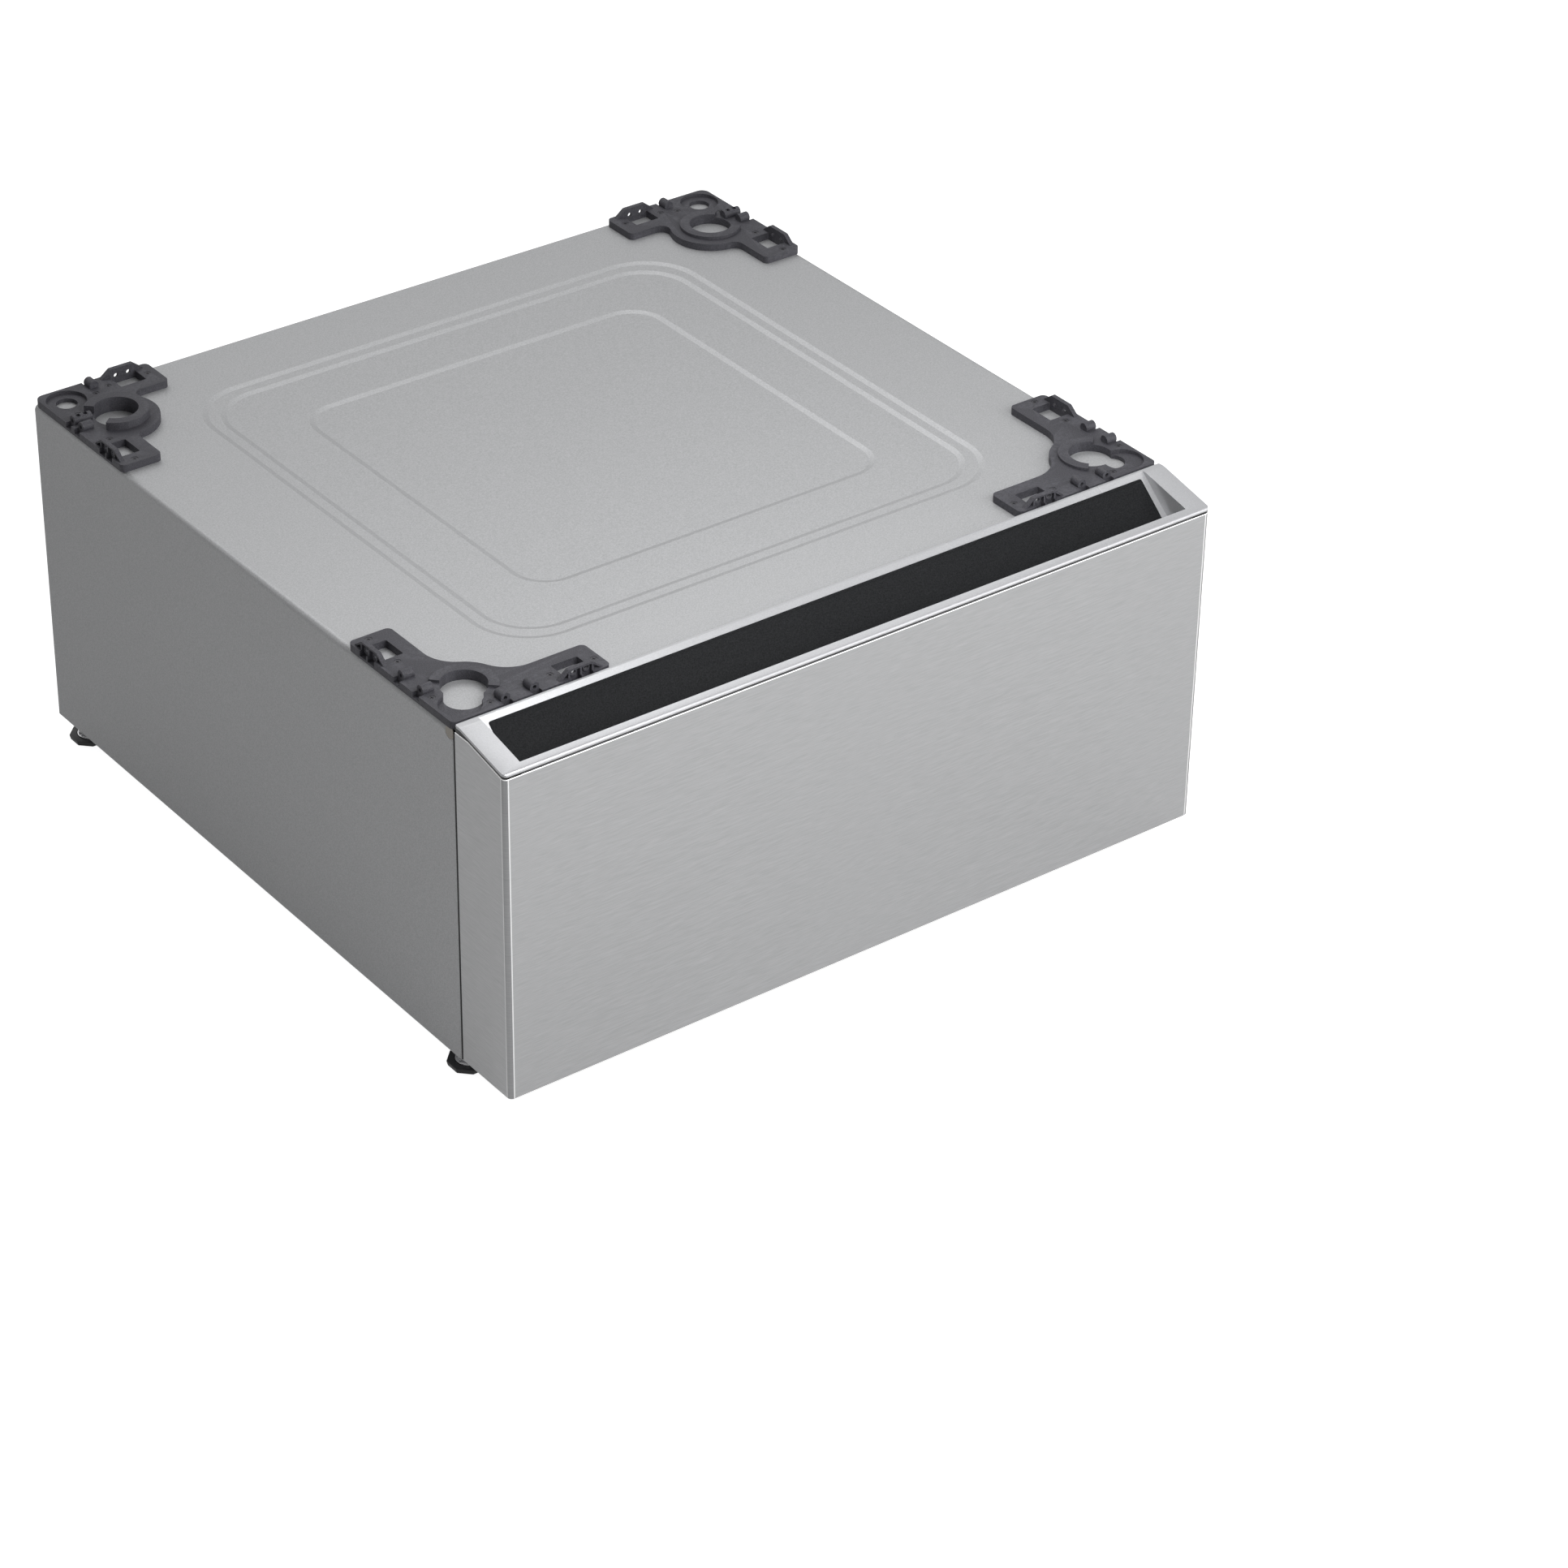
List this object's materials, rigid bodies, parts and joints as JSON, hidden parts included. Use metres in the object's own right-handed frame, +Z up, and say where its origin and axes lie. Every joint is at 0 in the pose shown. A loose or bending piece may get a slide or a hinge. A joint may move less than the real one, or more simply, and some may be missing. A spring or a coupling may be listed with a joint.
{
  "type": "washer pedestal drawer",
  "caption": "Steel pedestal under a front-loading washer, with a full-width storage drawer, corner plates that seat the washer's feet, and screw-adjusted levelling legs.",
  "frame": {"origin": "on the floor under the middle of the closed pedestal's width and depth", "axes": "+Z up, +X to the right seen from the front, the drawer opens towards -Y"},
  "size_m": [0.686, 0.69, 0.3357],
  "materials": {
    "painted_sheet": "fine-grained satin paint in mid grey with a metallic cast",
    "charcoal_plastic": "matte charcoal moulding with a fine spark-eroded texture",
    "blackened_screws": "blackened steel",
    "beige_plastic": "matte beige",
    "brushed_steel": "stainless steel, brushed across the width",
    "black_plastic": "matte black moulding",
    "silver_plastic": "silver satin lacquer on a moulding",
    "dark_insert": "dark grey, finely pebbled",
    "bumper_rubber": "black rubber",
    "foot_plastic": "matte black moulding",
    "ball_steel": "polished bearing steel",
    "cage_steel": "bright rolled strip",
    "bright_zinc": "bright zinc plating",
    "galvanised_sheet": "galvanised sheet with a faint spangle"
  },
  "bodies": {
    "cabinet": {"cabinet_shell": "painted_sheet", "back_panel": "galvanised_sheet", "back_panel_screws": "bright_zinc", "base_frame": "galvanised_sheet", "top_rail": "galvanised_sheet", "left_slide_posts": "galvanised_sheet", "right_slide_posts": "galvanised_sheet", "leg_plates": "galvanised_sheet", "weld_nuts": "bright_zinc", "lock_nuts": "bright_zinc", "front_left_corner_plate": "charcoal_plastic", "front_right_corner_plate": "charcoal_plastic", "rear_left_corner_plate": "charcoal_plastic", "rear_right_corner_plate": "charcoal_plastic", "corner_plate_screws": "blackened_screws", "side_plugs": "beige_plastic", "left_slide_outer": "galvanised_sheet", "right_slide_outer": "galvanised_sheet", "slide_post_screws": "bright_zinc"},
    "drawer": {"left_slide_inner": "galvanised_sheet", "right_slide_inner": "galvanised_sheet", "slide_drawer_screws": "bright_zinc", "front_skin": "brushed_steel", "front_inner_panel": "black_plastic", "handle_bezel": "silver_plastic", "handle_insert": "dark_insert", "drawer_bumpers": "bumper_rubber", "drawer_bottom": "galvanised_sheet", "drawer_left_wall": "galvanised_sheet", "drawer_right_wall": "galvanised_sheet", "drawer_back_wall": "galvanised_sheet", "drawer_front_wall": "galvanised_sheet", "front_screws": "bright_zinc"},
    "left_middle_member": {"left_slide_middle": "galvanised_sheet"},
    "left_outer_ball_cage": {"left_outer_cage": "cage_steel", "left_outer_balls": "ball_steel"},
    "left_inner_ball_cage": {"left_inner_cage": "cage_steel", "left_inner_balls": "ball_steel"},
    "right_middle_member": {"right_slide_middle": "galvanised_sheet"},
    "right_outer_ball_cage": {"right_outer_cage": "cage_steel", "right_outer_balls": "ball_steel"},
    "right_inner_ball_cage": {"right_inner_cage": "cage_steel", "right_inner_balls": "ball_steel"},
    "front_left_leg": {"front_left_foot": "foot_plastic", "front_left_stud": "bright_zinc"},
    "front_right_leg": {"front_right_foot": "foot_plastic", "front_right_stud": "bright_zinc"},
    "rear_left_leg": {"rear_left_foot": "foot_plastic", "rear_left_stud": "bright_zinc"},
    "rear_right_leg": {"rear_right_foot": "foot_plastic", "rear_right_stud": "bright_zinc"}
  },
  "joints": [
    {"name": "drawer_slide", "type": "slide", "parent": "cabinet", "child": "drawer", "axis": [0, -1, 0], "range_m": [0, 0.45]},
    {"name": "left_middle_slide", "type": "slide", "parent": "cabinet", "child": "left_middle_member", "axis": [0, -1, 0], "range_m": [0, 0.225]},
    {"name": "left_outer_cage_slide", "type": "slide", "parent": "cabinet", "child": "left_outer_ball_cage", "axis": [0, -1, 0], "range_m": [0, 0.1125]},
    {"name": "left_inner_cage_slide", "type": "slide", "parent": "cabinet", "child": "left_inner_ball_cage", "axis": [0, -1, 0], "range_m": [0, 0.3375]},
    {"name": "right_middle_slide", "type": "slide", "parent": "cabinet", "child": "right_middle_member", "axis": [0, -1, 0], "range_m": [0, 0.225]},
    {"name": "right_outer_cage_slide", "type": "slide", "parent": "cabinet", "child": "right_outer_ball_cage", "axis": [0, -1, 0], "range_m": [0, 0.1125]},
    {"name": "right_inner_cage_slide", "type": "slide", "parent": "cabinet", "child": "right_inner_ball_cage", "axis": [0, -1, 0], "range_m": [0, 0.3375]},
    {"name": "front_left_levelling", "type": "slide", "parent": "cabinet", "child": "front_left_leg", "axis": [0, 0, -1], "range_m": [0, 0.018]},
    {"name": "front_right_levelling", "type": "slide", "parent": "cabinet", "child": "front_right_leg", "axis": [0, 0, -1], "range_m": [0, 0.018]},
    {"name": "rear_left_levelling", "type": "slide", "parent": "cabinet", "child": "rear_left_leg", "axis": [0, 0, -1], "range_m": [0, 0.018]},
    {"name": "rear_right_levelling", "type": "slide", "parent": "cabinet", "child": "rear_right_leg", "axis": [0, 0, -1], "range_m": [0, 0.018]}
  ],
  "couplings": [
    {"joint": "left_middle_slide", "follows": "drawer_slide", "ratio": 0.5},
    {"joint": "left_outer_cage_slide", "follows": "drawer_slide", "ratio": 0.25},
    {"joint": "left_inner_cage_slide", "follows": "drawer_slide", "ratio": 0.75},
    {"joint": "right_middle_slide", "follows": "drawer_slide", "ratio": 0.5},
    {"joint": "right_outer_cage_slide", "follows": "drawer_slide", "ratio": 0.25},
    {"joint": "right_inner_cage_slide", "follows": "drawer_slide", "ratio": 0.75}
  ]
}
